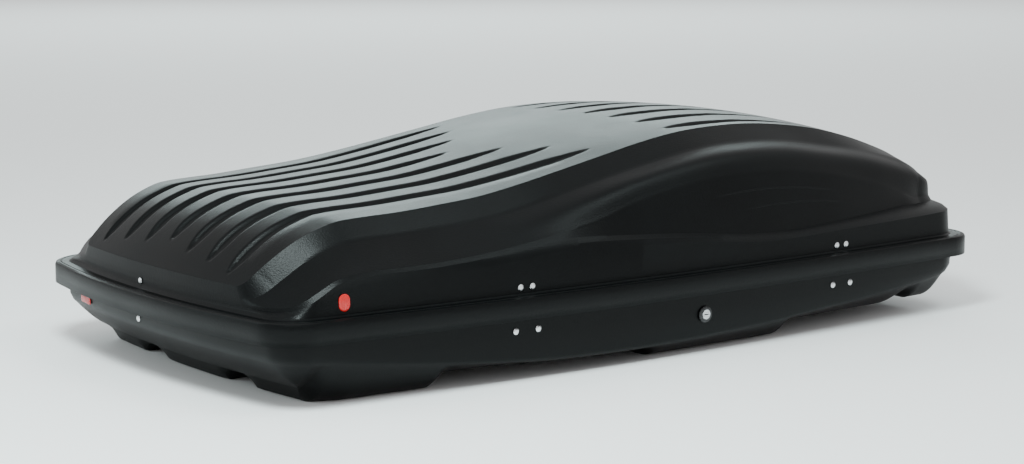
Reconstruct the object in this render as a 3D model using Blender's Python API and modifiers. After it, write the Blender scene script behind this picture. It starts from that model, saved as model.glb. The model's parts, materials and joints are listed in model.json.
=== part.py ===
"""A roof cargo box, closed, standing on the lobes of its tray.

X runs from the nose to the tail, +Y is the hinge side, -Y the lock side, +Z is up. The origin is
under the middle of the box, on the surface that it stands on. Everything is in metres.
Shells are rings of points, first placed in a straight box and then bowed by on_box().
"""

import math

import bmesh
import bpy
from mathutils import Matrix, Vector

# Driving dimensions of the shells
LENGTH = 1.390  # over the lid's lip
WIDTH = 0.758  # over the lid's lip
TRAY_DEPTH = 0.127  # from the lowest lobe to the top of the lip
LID_RISE = 0.2045  # from the top of the lip, what the lid's lines are shares of
LIP_HEIGHT = 0.032
WALL = 0.004  # thickness of both shells
NOSE_BOW = 0.037  # how far the nose's middle stands ahead of its ends
TAIL_BOW = 0.015
SIDE_BOW = 0.029  # how far a side's middle stands outside its ends
LIP_TURN = 0.056  # plan radius of the lip's corners
LEDGE = 0.021  # from the lip's outer face to the lid's wall
TRAY_INSET = 0.021  # from the lip's outer face to the tray's wall
FLANGE_INSET = 0.006  # from the lip's outer face to the tray's flange
FLANGE_DROP = 0.0085  # from the top of the lip down to the flange
CROWN = 0.010  # how much the lid's top rises from its edge to its middle
REAR_CROWN = 0.0115

# The tray's floor: lobes that it stands on, and flat recesses that the crossbars cross
RECESS_RISE = 0.017  # from the lobes up to the recesses
TAIL_RISE = 0.022  # how much higher the tail's lobes end
MIDDLE_LOBE = 0.088  # half width of the lobe on the centre line
SIDE_LOBE = 0.175  # where the outer lobes start
LOBE_SLOPE = 0.020
LOBES = ((-0.59, -0.405), (0.0, 0.258), (0.58, 0.63))  # from x, to x

# Hardware
HARDWARE_X = (-0.256, 0.3695)  # hinge and latch stations
LID_RIVET_Z = 0.0103  # above the top of the lip
TRAY_RIVET_Z = -0.0513
LID_RIVET_PITCH = 0.0206
TRAY_RIVET_PITCH = 0.039
RIVET_HEAD = 0.005
RIVET_SHANK = 0.0024
RIVET_HOLE = 0.0028
PLATE = 0.002  # thickness of pressed brackets
GAP = 0.0004  # between pieces that touch
HINGE_INSET = 0.011  # from the lip's outer face to the hinge pin
HINGE_Z = -0.026
KNUCKLE = 0.0045
HINGE_PIN = 0.002
LEAF_WIDTH = 0.036
ROD = 0.003
ROD_Z = -0.030
LOCK_X = 0.0768
LOCK_Z = -0.066
LOCK_THROW = 0.014
PLUG = 0.0075
BARREL = 0.0095
STAY_Y = 0.027
STAY_LINK = 0.240
STAY_PLANE = 0.049  # from the lip's end to the outer face of the stay's tray link
STAY_END = 0.008
STAY_LID_Z = 0.0095
STAY_TRAY_Z = -0.045
BAR_X = (-0.200, 0.420)
CLAMP_INSET = 0.164  # from the lip's outer face to the middle of a clamp
CLAMP_SPREAD = 0.040  # from the bar's middle to each leg
BOLT = 0.0035
BOLT_LEG = 0.086
KNOB = 0.017
KNOB_HEIGHT = 0.014

HALF = LENGTH / 2
SIDE = WIDTH / 2

# The lid's lines, as (station, half width, height): shares of half the length, half the width
# and the lid's rise. From the top down: CROWN_EDGE runs round the top, VALLEY is the foot of the
# steep strip under it, ARCH the lower edge of the lit shoulder, which rises over the rear, SILL
# the inner line of the ledge behind it, and WALL_TOP where the upright wall above the lip ends.
CROWN_EDGE = (
    (-0.965, 0.642, 0.150), (-0.920, 0.670, 0.285), (-0.877, 0.682, 0.390), (-0.833, 0.690, 0.474),
    (-0.789, 0.698, 0.532), (-0.744, 0.702, 0.570), (-0.600, 0.703, 0.592), (-0.500, 0.699, 0.615),
    (-0.391, 0.688, 0.644), (-0.280, 0.669, 0.696), (-0.165, 0.650, 0.762), (-0.049, 0.633, 0.832),
    (0.071, 0.617, 0.904), (0.194, 0.602, 0.956), (0.330, 0.592, 0.972), (0.450, 0.590, 0.955),
    (0.600, 0.598, 0.890), (0.722, 0.604, 0.795), (0.838, 0.612, 0.665), (0.896, 0.616, 0.578),
    (0.934, 0.614, 0.500), (0.958, 0.600, 0.420),
)
VALLEY = (
    (-0.965, 0.690, 0.085), (-0.940, 0.722, 0.120), (-0.899, 0.737, 0.210), (-0.857, 0.749, 0.305),
    (-0.812, 0.757, 0.390), (-0.767, 0.763, 0.432), (-0.721, 0.767, 0.446), (-0.620, 0.767, 0.458),
    (-0.420, 0.761, 0.502), (-0.312, 0.747, 0.545), (-0.165, 0.734, 0.640), (0.000, 0.720, 0.740),
    (0.194, 0.705, 0.838), (0.330, 0.696, 0.856), (0.450, 0.690, 0.838), (0.580, 0.688, 0.776),
    (0.722, 0.700, 0.700), (0.838, 0.708, 0.605), (0.900, 0.708, 0.525), (0.958, 0.680, 0.410),
)
ARCH = (
    (-0.965, 0.700, 0.060), (-0.932, 0.885, 0.070), (-0.891, 0.908, 0.150), (-0.834, 0.918, 0.245),
    (-0.760, 0.918, 0.276), (-0.594, 0.912, 0.286), (-0.440, 0.904, 0.318), (-0.330, 0.895, 0.360),
    (-0.250, 0.886, 0.392), (-0.153, 0.873, 0.448), (-0.039, 0.862, 0.545), (0.076, 0.856, 0.612),
    (0.193, 0.852, 0.652), (0.315, 0.850, 0.660), (0.444, 0.846, 0.630), (0.580, 0.838, 0.560),
    (0.728, 0.825, 0.440), (0.807, 0.812, 0.360), (0.860, 0.798, 0.305), (0.958, 0.745, 0.275),
)
SILL = (
    (-0.965, 0.705, 0.040), (-0.932, 0.908, 0.045), (-0.891, 0.927, 0.120), (-0.834, 0.935, 0.222),
    (-0.760, 0.934, 0.250), (-0.594, 0.928, 0.256), (-0.440, 0.920, 0.286), (-0.330, 0.912, 0.326),
    (-0.250, 0.905, 0.346), (-0.063, 0.900, 0.316), (0.120, 0.898, 0.268), (0.260, 0.898, 0.218),
    (0.383, 0.894, 0.202), (0.562, 0.879, 0.220), (0.715, 0.851, 0.240), (0.797, 0.832, 0.250),
    (0.860, 0.818, 0.246), (0.958, 0.765, 0.240),
)
WALL_TOP = (
    (-0.965, 0.022), (-0.932, 0.025), (-0.891, 0.095), (-0.834, 0.192), (-0.760, 0.216),
    (-0.594, 0.222), (-0.440, 0.250), (-0.330, 0.288), (-0.250, 0.308), (-0.063, 0.284),
    (0.120, 0.236), (0.260, 0.184), (0.336, 0.170), (0.527, 0.184), (0.662, 0.196),
    (0.808, 0.206), (0.946, 0.222),
)
# Where the tray's wall turns under, as (station, share of the tray's depth below the lip).
KEEL = (
    (-0.960, 0.488), (-0.878, 0.520), (-0.791, 0.573), (-0.604, 0.679), (-0.432, 0.761),
    (-0.273, 0.815), (0.000, 0.830), (0.300, 0.780), (0.432, 0.730), (0.604, 0.675),
    (0.734, 0.622), (0.863, 0.551), (0.960, 0.480),
)
LID_STATIONS = (
    -0.885, -0.840, -0.790, -0.720, -0.575, -0.430, -0.330, -0.235, -0.090,
    0.070, 0.215, 0.360, 0.520, 0.665, 0.790, 0.875,
)
LOBE_ENDS = [x / HALF for start, end in LOBES for x in (start - LOBE_SLOPE, start, end, end + LOBE_SLOPE)]
TRAY_STATIONS = sorted([*LOBE_ENDS, -0.705, -0.390, -0.200, 0.190, 0.590, 0.740])
NOSE_SHARES = (0.0, MIDDLE_LOBE / SIDE, 0.41, SIDE_LOBE / SIDE, 0.62, 1.0)
TURN_STEPS = 4

box_collection = bpy.data.collections.new("roof_cargo_box")
cutter_collection = bpy.data.collections.new("cutters")


def start_scene():
    """Empties the scene and adds the two collections."""
    for old in list(bpy.data.objects):
        bpy.data.objects.remove(old)
    for collection in (box_collection, cutter_collection):
        bpy.context.scene.collection.children.link(collection)


def material(name, colour, roughness, metallic=0.0):
    """A plain Principled material."""
    made = bpy.data.materials.get(name) or bpy.data.materials.new(name)
    made.use_nodes = True
    shader = made.node_tree.nodes["Principled BSDF"]
    shader.inputs["Base Color"].default_value = (*colour, 1)
    shader.inputs["Roughness"].default_value = roughness
    shader.inputs["Metallic"].default_value = metallic
    return made


BLACK_ABS = material("black_abs", (0.012, 0.013, 0.014), 0.45)
BLACK_NYLON = material("black_nylon", (0.02, 0.02, 0.022), 0.6)
ZINC = material("zinc_steel", (0.55, 0.56, 0.57), 0.35, 1.0)
ALUMINIUM = material("rivet_aluminium", (0.72, 0.73, 0.74), 0.35, 1.0)


def put(name, mesh, finish, matrix=None):
    """Links a mesh as an object of the box."""
    made = bpy.data.objects.new(name, mesh)
    box_collection.objects.link(made)
    made.data.materials.append(finish)
    if matrix is not None:
        made.matrix_world = matrix
    return made


def through(points, x):
    """A smooth curve through (x, y) points, flat beyond its ends."""
    if x <= points[0][0]:
        return points[0][1]
    if x >= points[-1][0]:
        return points[-1][1]
    k = max(i for i in range(len(points) - 1) if points[i][0] <= x)

    def slope(i):
        low, high = max(i - 1, 0), min(i + 1, len(points) - 1)
        return (points[high][1] - points[low][1]) / (points[high][0] - points[low][0])

    (x0, y0), (x1, y1) = points[k], points[k + 1]
    span = x1 - x0
    t = (x - x0) / span
    return (
        (2 * t**3 - 3 * t**2 + 1) * y0
        + (t**3 - 2 * t**2 + t) * span * slope(k)
        + (3 * t**2 - 2 * t**3) * y1
        + (t**3 - t**2) * span * slope(k + 1)
    )


def ease(t):
    """0 to 1 with level ends."""
    t = min(max(t, 0.0), 1.0)
    return t * t * (3 - 2 * t)


def on_box(x, y, z):
    """A point of the straight box, z above the top of the lip, placed on the bowed box."""
    along, across = x / HALF, y / SIDE
    bow = NOSE_BOW if along < 0 else -TAIL_BOW
    return Vector((x + bow * (along * across) ** 2, y * (1 - SIDE_BOW / SIDE * along**2), z + TRAY_DEPTH))


HINGE_Y = on_box(HARDWARE_X[1], SIDE, 0).y - HINGE_INSET


def half_ring(nose, tail, flat, turn, half_width, height, stations):
    """Points from the middle of the nose, round the -Y side, to the middle of the tail."""
    nose_flat, tail_flat = flat
    first, last = nose + turn, tail - turn
    points = [(nose, min(share * SIDE, nose_flat)) for share in NOSE_SHARES]
    for k in range(1, TURN_STEPS + 1):
        a = math.radians(90 * k / TURN_STEPS)
        reach = half_width(first) - nose_flat
        points.append((nose + turn * (1 - math.cos(a)), nose_flat + reach * math.sin(a)))
    for station in stations:
        x = min(max(station * HALF, first), last)
        points.append((x, half_width(x)))
    for k in range(TURN_STEPS, -1, -1):
        a = math.radians(90 * k / TURN_STEPS)
        reach = half_width(last) - tail_flat
        points.append((tail - turn * (1 - math.cos(a)), tail_flat + reach * math.sin(a)))
    points += [(tail, min(share * SIDE, tail_flat)) for share in reversed(NOSE_SHARES[:-1])]
    return [(x, -y, height(x, y)) for x, y in points]


def inset_ring(inset, height, turn, stations):
    """A ring a set distance inside the lip's outline."""
    turn = max(turn, 0.001)
    flat = SIDE - inset - turn
    level = height if callable(height) else lambda x, y: height
    return half_ring(
        inset - HALF, HALF - inset, (flat, flat), turn, lambda x: SIDE - inset, level, stations
    )


def shell(name, rings, outward_z):
    """An open skin over the rings and their mirror images, thickened inwards."""
    work = bmesh.new()
    loops = []
    for half in rings:
        mirrored = [(x, -y, z) for x, y, z in reversed(half[1:-1])]
        loops.append([work.verts.new(on_box(*point)) for point in half + mirrored])
    count = len(loops[0])
    for outer, inner in zip(loops, loops[1:]):
        for i in range(count):
            j = (i + 1) % count
            work.faces.new((outer[i], outer[j], inner[j], inner[i]))
    middle, last = loops[-1], len(rings[0]) - 1
    work.faces.new((middle[0], middle[1], middle[-1]))
    for i in range(1, last - 1):
        work.faces.new((middle[i], middle[i + 1], middle[-i - 1], middle[-i]))
    work.faces.new((middle[last - 1], middle[last], middle[last + 1]))
    bmesh.ops.remove_doubles(work, verts=work.verts, dist=0.0002)
    bmesh.ops.dissolve_degenerate(work, edges=work.edges, dist=0.0001)
    bmesh.ops.recalc_face_normals(work, faces=work.faces)
    work.normal_update()
    if sum(face.normal.z * face.calc_area() for face in work.faces) * outward_z < 0:
        bmesh.ops.reverse_faces(work, faces=work.faces)
    mesh = bpy.data.meshes.new(name)
    work.to_mesh(mesh)
    work.free()
    mesh.shade_smooth()
    mesh.set_sharp_from_angle(angle=math.radians(35))
    made = put(name, mesh, BLACK_ABS)
    thick = made.modifiers.new("wall", "SOLIDIFY")
    thick.thickness = WALL
    thick.offset = -1
    thick.use_even_offset = False
    return made


# ---------------------------------------------------------------- the two shells


def edge_width(x):
    return line_width(CROWN_EDGE, x)


def edge_height(x):
    return line_height(CROWN_EDGE, x)


def line_width(line, x):
    return SIDE * through([(s, w) for s, w, _ in line], x / HALF)


def line_height(line, x):
    return LID_RISE * through([(s, h) for s, _, h in line], x / HALF)


def top_height(x, y):
    """The lid's top inside its crown edge."""
    crown = CROWN + (REAR_CROWN - CROWN) * ease(x / HALF)
    across = min(y / edge_width(x), 1.0)
    return edge_height(x) + crown * (1 - across**2) * ease((x / HALF + 0.97) / 0.12)


def line_ring(line, nose, tail, flat, turn):
    """A ring that follows one of the lid's lines."""
    return half_ring(
        nose, tail, flat, turn,
        lambda x: line_width(line, x), lambda x, y: line_height(line, x), LID_STATIONS,
    )


def between(outer, inner, share, bulge):
    """A line part of the way between two others, bulging over the rear."""
    mixed = []
    for station in LID_STATIONS_ENDS:
        x = station * HALF
        low = line_width(outer, x) / SIDE, line_height(outer, x) / LID_RISE
        high = line_width(inner, x) / SIDE, line_height(inner, x) / LID_RISE
        more = bulge * math.sin(math.pi * share) * ease((station + 0.50) / 0.5)
        mixed.append((
            station, low[0] + (high[0] - low[0]) * share + more / SIDE,
            low[1] + (high[1] - low[1]) * share + more / LID_RISE,
        ))
    return mixed


EDGE_NOSE = LEDGE + 0.0085 - HALF
EDGE_TAIL = HALF - LEDGE - 0.0085
LID_STATIONS_ENDS = (-0.965, -0.932, *LID_STATIONS, 0.920, 0.958)


def lid_shell():
    """The upper shell: lip, ledge, side wall, winged shoulder and crown."""
    rings = [
        inset_ring(0.0, -LIP_HEIGHT, LIP_TURN, LID_STATIONS),
        inset_ring(0.0, -0.0045, LIP_TURN, LID_STATIONS),
        inset_ring(0.0045, 0.0, LIP_TURN, LID_STATIONS),
        inset_ring(LEDGE, 0.0, LIP_TURN - 0.006, LID_STATIONS),
        inset_ring(LEDGE + 0.003, 0.002, LIP_TURN - 0.007, LID_STATIONS),
        inset_ring(
            LEDGE + 0.0055, lambda x, y: LID_RISE * through(WALL_TOP, x / HALF),
            LIP_TURN - 0.008, LID_STATIONS,
        ),
        line_ring(SILL, EDGE_NOSE - 0.0022, EDGE_TAIL + 0.0022, (SIDE * 0.65, SIDE * 0.725), 0.050),
        line_ring(ARCH, EDGE_NOSE - 0.0020, EDGE_TAIL + 0.0016, (SIDE * 0.65, SIDE * 0.71), 0.050),
        line_ring(
            between(ARCH, VALLEY, 0.5, 0.008), EDGE_NOSE - 0.0016, EDGE_TAIL + 0.0012,
            (SIDE * 0.65, SIDE * 0.685), 0.045,
        ),
        line_ring(VALLEY, EDGE_NOSE - 0.0012, EDGE_TAIL + 0.0008, (SIDE * 0.65, SIDE * 0.64), 0.035),
        line_ring(CROWN_EDGE, EDGE_NOSE, EDGE_TAIL, (SIDE * 0.62, SIDE * 0.56), 0.022),
    ]
    for inset in (0.030, 0.085, 0.150, 0.205):
        nose, tail = EDGE_NOSE + inset, EDGE_TAIL - inset
        share = 1 - inset / 0.215

        def narrowed(x, share=share):
            return edge_width(x) * share

        flat = (SIDE * 0.62 * share, SIDE * 0.56 * share)
        rings.append(half_ring(nose, tail, flat, 0.022 * share, narrowed, top_height, LID_STATIONS))
    return shell("lid_shell", rings, 1)


def keel_height(x):
    return -TRAY_DEPTH * through(KEEL, x / HALF)


def lobe_share(x, y):
    """1 on a lobe's flat, 0 in a recess or in a valley between lobes."""
    along = max(
        ease((x - start) / LOBE_SLOPE + 1) * ease((end - x) / LOBE_SLOPE + 1) for start, end in LOBES
    )
    across = max(
        ease((MIDDLE_LOBE - y) / LOBE_SLOPE + 1), ease((y - SIDE_LOBE) / LOBE_SLOPE + 1)
    )
    return along * across


def floor_height(x, y, inset):
    """The underside, inset being the distance from the line where the wall turns under."""
    floor = RECESS_RISE - TRAY_DEPTH - RECESS_RISE * lobe_share(x, y)
    floor += TAIL_RISE * ease((x / HALF - 0.75) / 0.09)
    run = 0.062 - 0.014 * lobe_share(x, y) + 0.022 * ease((-x / HALF - 0.78) / 0.1)
    return keel_height(x) + (floor - keel_height(x)) * math.sin(math.pi / 2 * min(inset / run, 1.0))


def tray_skin():
    """The lower shell: flange, wall, sloping underside, lobes and recesses."""
    turn = LIP_TURN - 0.012
    keel = TRAY_INSET + 0.011
    bottom = -FLANGE_DROP - WALL
    rings = [
        inset_ring(FLANGE_INSET, bottom, LIP_TURN - 0.005, TRAY_STATIONS),
        inset_ring(TRAY_INSET - 0.003, bottom, turn, TRAY_STATIONS),
        inset_ring(TRAY_INSET, bottom - 0.003, turn, TRAY_STATIONS),
        inset_ring(
            TRAY_INSET + 0.002, lambda x, y: max(-0.058, keel_height(x) + 0.008), turn, TRAY_STATIONS
        ),
        inset_ring(TRAY_INSET + 0.006, lambda x, y: keel_height(x) + 0.005, turn, TRAY_STATIONS),
    ]
    lobe_lines = (SIDE_LOBE + 0.013, SIDE_LOBE - 0.012, MIDDLE_LOBE + LOBE_SLOPE, MIDDLE_LOBE, 0.032)
    inner = [SIDE - keel - y for y in lobe_lines]
    for inset in (0.0, 0.018, 0.048, 0.064, (0.064 + inner[0]) / 2, *inner):

        def underside(x, y, inset=inset):
            return floor_height(x, y, inset)

        rings.append(inset_ring(keel + inset, underside, turn - inset, TRAY_STATIONS))
    return shell("tray_shell", rings, -1)


def lid_wall_y(x, z):
    """Half width of the lid's outer wall at a station x, z above the lip."""
    top = LID_RISE * through(WALL_TOP, x / HALF)
    inset = LEDGE + 0.003 + 0.0025 * (z - 0.002) / (top - 0.002)
    return on_box(x, SIDE - inset, 0).y


def tray_wall_y(x, z):
    """Half width of the tray's outer wall at a station x, z above the lip."""
    top = -FLANGE_DROP - WALL - 0.003
    return on_box(x, SIDE - TRAY_INSET - 0.002 * (top - z) / (top + 0.058), 0).y


# ---------------------------------------------------------------- building blocks


def move_to_cutters(made):
    box_collection.objects.unlink(made)
    cutter_collection.objects.link(made)
    made.hide_render = True
    made.display_type = "WIRE"


def combine(made, others, operation):
    """A Boolean of made with each of the others, which become helpers."""
    for other in others:
        move_to_cutters(other)
        step = made.modifiers.new(operation.lower(), "BOOLEAN")
        step.operation = operation
        step.object = other
        step.solver = "EXACT"
    return made


def block(name, low, high, finish=ZINC):
    """A box from one corner to the other, z above the top of the lip."""
    work = bmesh.new()
    bmesh.ops.create_cube(work, size=1.0)
    size = [b - a for a, b in zip(low, high)]
    bmesh.ops.scale(work, vec=size, verts=work.verts)
    mesh = bpy.data.meshes.new(name)
    work.to_mesh(mesh)
    work.free()
    centre = [(a + b) / 2 for a, b in zip(low, high)]
    return put(name, mesh, finish, Matrix.Translation((centre[0], centre[1], centre[2] + TRAY_DEPTH)))


def axis_matrix(at, pointing):
    """Turns +Z to the direction and moves the origin to the point, z above the lip."""
    turn = Vector(pointing).to_track_quat("Z", "Y").to_matrix().to_4x4()
    return Matrix.Translation((at[0], at[1], at[2] + TRAY_DEPTH)) @ turn


def round_bar(name, start, pointing, length, radius, finish=ZINC, sides=12):
    """A cylinder from a point along a direction."""
    work = bmesh.new()
    bmesh.ops.create_cone(
        work, cap_ends=True, segments=sides, radius1=radius, radius2=radius, depth=length,
        matrix=Matrix.Translation((0, 0, length / 2)),
    )
    mesh = bpy.data.meshes.new(name)
    work.to_mesh(mesh)
    work.free()
    mesh.shade_smooth()
    mesh.set_sharp_from_angle(angle=math.radians(40))
    return put(name, mesh, finish, axis_matrix(start, pointing))


def turned(name, profile, at, pointing, finish, steps=12):
    """A turned piece: (radius, height) down the outer side, from axis to axis."""
    mesh = bpy.data.meshes.new(name)
    rows = [(radius, 0, height) for radius, height in profile]
    mesh.from_pydata(rows, [(i, i + 1) for i in range(len(rows) - 1)], [])
    made = put(name, mesh, finish, axis_matrix(at, pointing))
    spin = made.modifiers.new("turn", "SCREW")
    spin.axis = "Z"
    spin.steps = steps
    spin.render_steps = steps
    spin.use_merge_vertices = True
    spin.merge_threshold = 0.0001
    return made


def plate(name, outline, thickness, matrix, finish=ZINC):
    """A flat piece: an outline in X and Y, extruded along Z about its middle plane."""
    curve = bpy.data.curves.new(name, "CURVE")
    curve.dimensions = "2D"
    curve.fill_mode = "BOTH"
    curve.extrude = thickness / 2
    for loop in outline:
        spline = curve.splines.new("POLY")
        spline.points.add(len(loop) - 1)
        for point, (x, y) in zip(spline.points, loop):
            point.co = (x, y, 0, 1)
        spline.use_cyclic_u = True
    drawn = bpy.data.objects.new(name + "_outline", curve)
    bpy.context.scene.collection.objects.link(drawn)
    graph = bpy.context.evaluated_depsgraph_get()
    mesh = bpy.data.meshes.new_from_object(drawn.evaluated_get(graph))
    bpy.data.objects.remove(drawn)
    work = bmesh.new()
    work.from_mesh(mesh)
    bmesh.ops.remove_doubles(work, verts=work.verts, dist=0.00001)
    bmesh.ops.recalc_face_normals(work, faces=work.faces)
    work.to_mesh(mesh)
    work.free()
    mesh.materials.clear()
    return put(name, mesh, finish, matrix)


def circle(radius, sides, x=0.0, y=0.0):
    turns = [2 * math.pi * (k + 0.5) / sides for k in range(sides)]
    return [(x + radius * math.cos(a), y + radius * math.sin(a)) for a in turns]


def upright(x, y, z):
    """A frame whose X is the box's X, whose Y is up and whose Z is -Y, for plates on a side wall."""
    return Matrix.Translation((x, y, z + TRAY_DEPTH)) @ Matrix.Rotation(math.pi / 2, 4, "X")


def endwise(x, y, z):
    """A frame whose X is the box's Y, whose Y is up and whose Z is the box's X, for the stays."""
    turn = Matrix(((0, 0, 1, 0), (1, 0, 0, 0), (0, 1, 0, 0), (0, 0, 0, 1)))
    return Matrix.Translation((x, y, z + TRAY_DEPTH)) @ turn


def rivet(name, at, inwards, grip):
    """A blind rivet: domed head outside, shank through the sheets, set tail inside."""
    head = [(0, 0.0019), (RIVET_HEAD * 0.6, 0.0016), (RIVET_HEAD, 0.0004), (RIVET_HEAD, 0)]
    end = -grip - 0.003
    tail = [(RIVET_SHANK, 0), (RIVET_SHANK, -grip), (0.0038, -grip), (0.0034, end), (0, end)]
    return turned(name, head + tail, at, [-v for v in inwards], ALUMINIUM)


# ---------------------------------------------------------------- latches, lock and hinges


def side_rivets(tag, x, side, lid_inner, tray_inner):
    """Four rivets of one station, and the cutters of their holes in the two shells."""
    lid_holes, tray_holes = [], []
    rows = (
        ("lid", LID_RIVET_PITCH, LID_RIVET_Z, lid_wall_y, lid_inner, lid_holes),
        ("tray", TRAY_RIVET_PITCH, TRAY_RIVET_Z, tray_wall_y, tray_inner, tray_holes),
    )
    for row, pitch, z, wall_y, inner, holes in rows:
        for which, offset in (("a", -pitch / 2), ("b", pitch / 2)):
            y = side * (wall_y(x + offset, z) + GAP)
            start = (x + offset, y, z)
            rivet(f"{tag}_{row}_rivet_{which}", start, (0, -side, 0), abs(y) - inner + GAP)
            outside = (x + offset, y + side * 0.006, z)
            hole = round_bar(f"{tag}_{row}_hole_{which}", outside, (0, -side, 0), 0.016, RIVET_HOLE, sides=8)
            holes.append(hole)
    return lid_holes, tray_holes


def inner_face(wall_y, x, z):
    """The half width a flat plate at this station has room for inside a wall."""
    return min(wall_y(x + reach, z) for reach in (-0.037, 0.037)) - WALL * 1.02 - GAP


def rivet_cutters(x, y, z, pitch):
    return [
        round_bar("plate_hole", (x + offset, y + 0.02, z), (0, -1, 0), 0.04, RIVET_HOLE, sides=8)
        for offset in (-pitch / 2, pitch / 2)
    ]


def latch(tag, x, rod_y):
    """A striker on the lid, its housing on the tray and the finger on the rod that catches it."""
    lid_y = inner_face(lid_wall_y, x, 0.022)
    outline = [
        (-0.024, -0.001), (-0.012, -0.001), (-0.012, -0.0255), (0.000, -0.0255), (0.000, -0.0345),
        (-0.012, -0.0345), (-0.012, -0.041), (0.012, -0.041), (0.012, -0.001), (0.024, -0.001),
        (0.024, 0.020), (-0.024, 0.020),
    ]
    holes = [circle(RIVET_HOLE, 8, s * LID_RIVET_PITCH / 2, LID_RIVET_Z) for s in (-1, 1)]
    plate(f"{tag}_striker", [outline, *holes], PLATE, upright(x, -(lid_y - PLATE / 2), 0))

    tray_y = inner_face(tray_wall_y, x, -0.058)
    base = block(
        f"{tag}_latch_housing",
        (x - 0.028, -tray_y, -0.0575), (x + 0.036, -tray_y + 0.003, -0.0445), BLACK_NYLON,
    )
    ear = block(
        "ear", (x + 0.0255, -tray_y, -0.0575), (x + 0.036, rod_y + 0.006, ROD_Z + 0.006), BLACK_NYLON
    )
    combine(base, [ear], "UNION")
    bore = round_bar("rod_bore", (x, rod_y, ROD_Z), (1, 0, 0), 0.05, ROD + GAP)
    combine(base, [bore, *rivet_cutters(x, -tray_y, TRAY_RIVET_Z, TRAY_RIVET_PITCH)], "DIFFERENCE")

    finger = block(f"{tag}_latch_finger", (x - 0.034, -lid_y, -0.0325), (x - 0.0145, rod_y + 0.005, -0.0275))
    hub = round_bar("hub", (x - 0.034, rod_y, ROD_Z), (1, 0, 0), 0.012, 0.0055)
    combine(finger, [hub], "UNION")
    grip = round_bar("grip_bore", (x - 0.05, rod_y, ROD_Z), (1, 0, 0), 0.05, ROD + GAP)
    combine(finger, [grip], "DIFFERENCE")
    return side_rivets(tag, x, -1, lid_y - PLATE, tray_y - 0.003)


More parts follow.
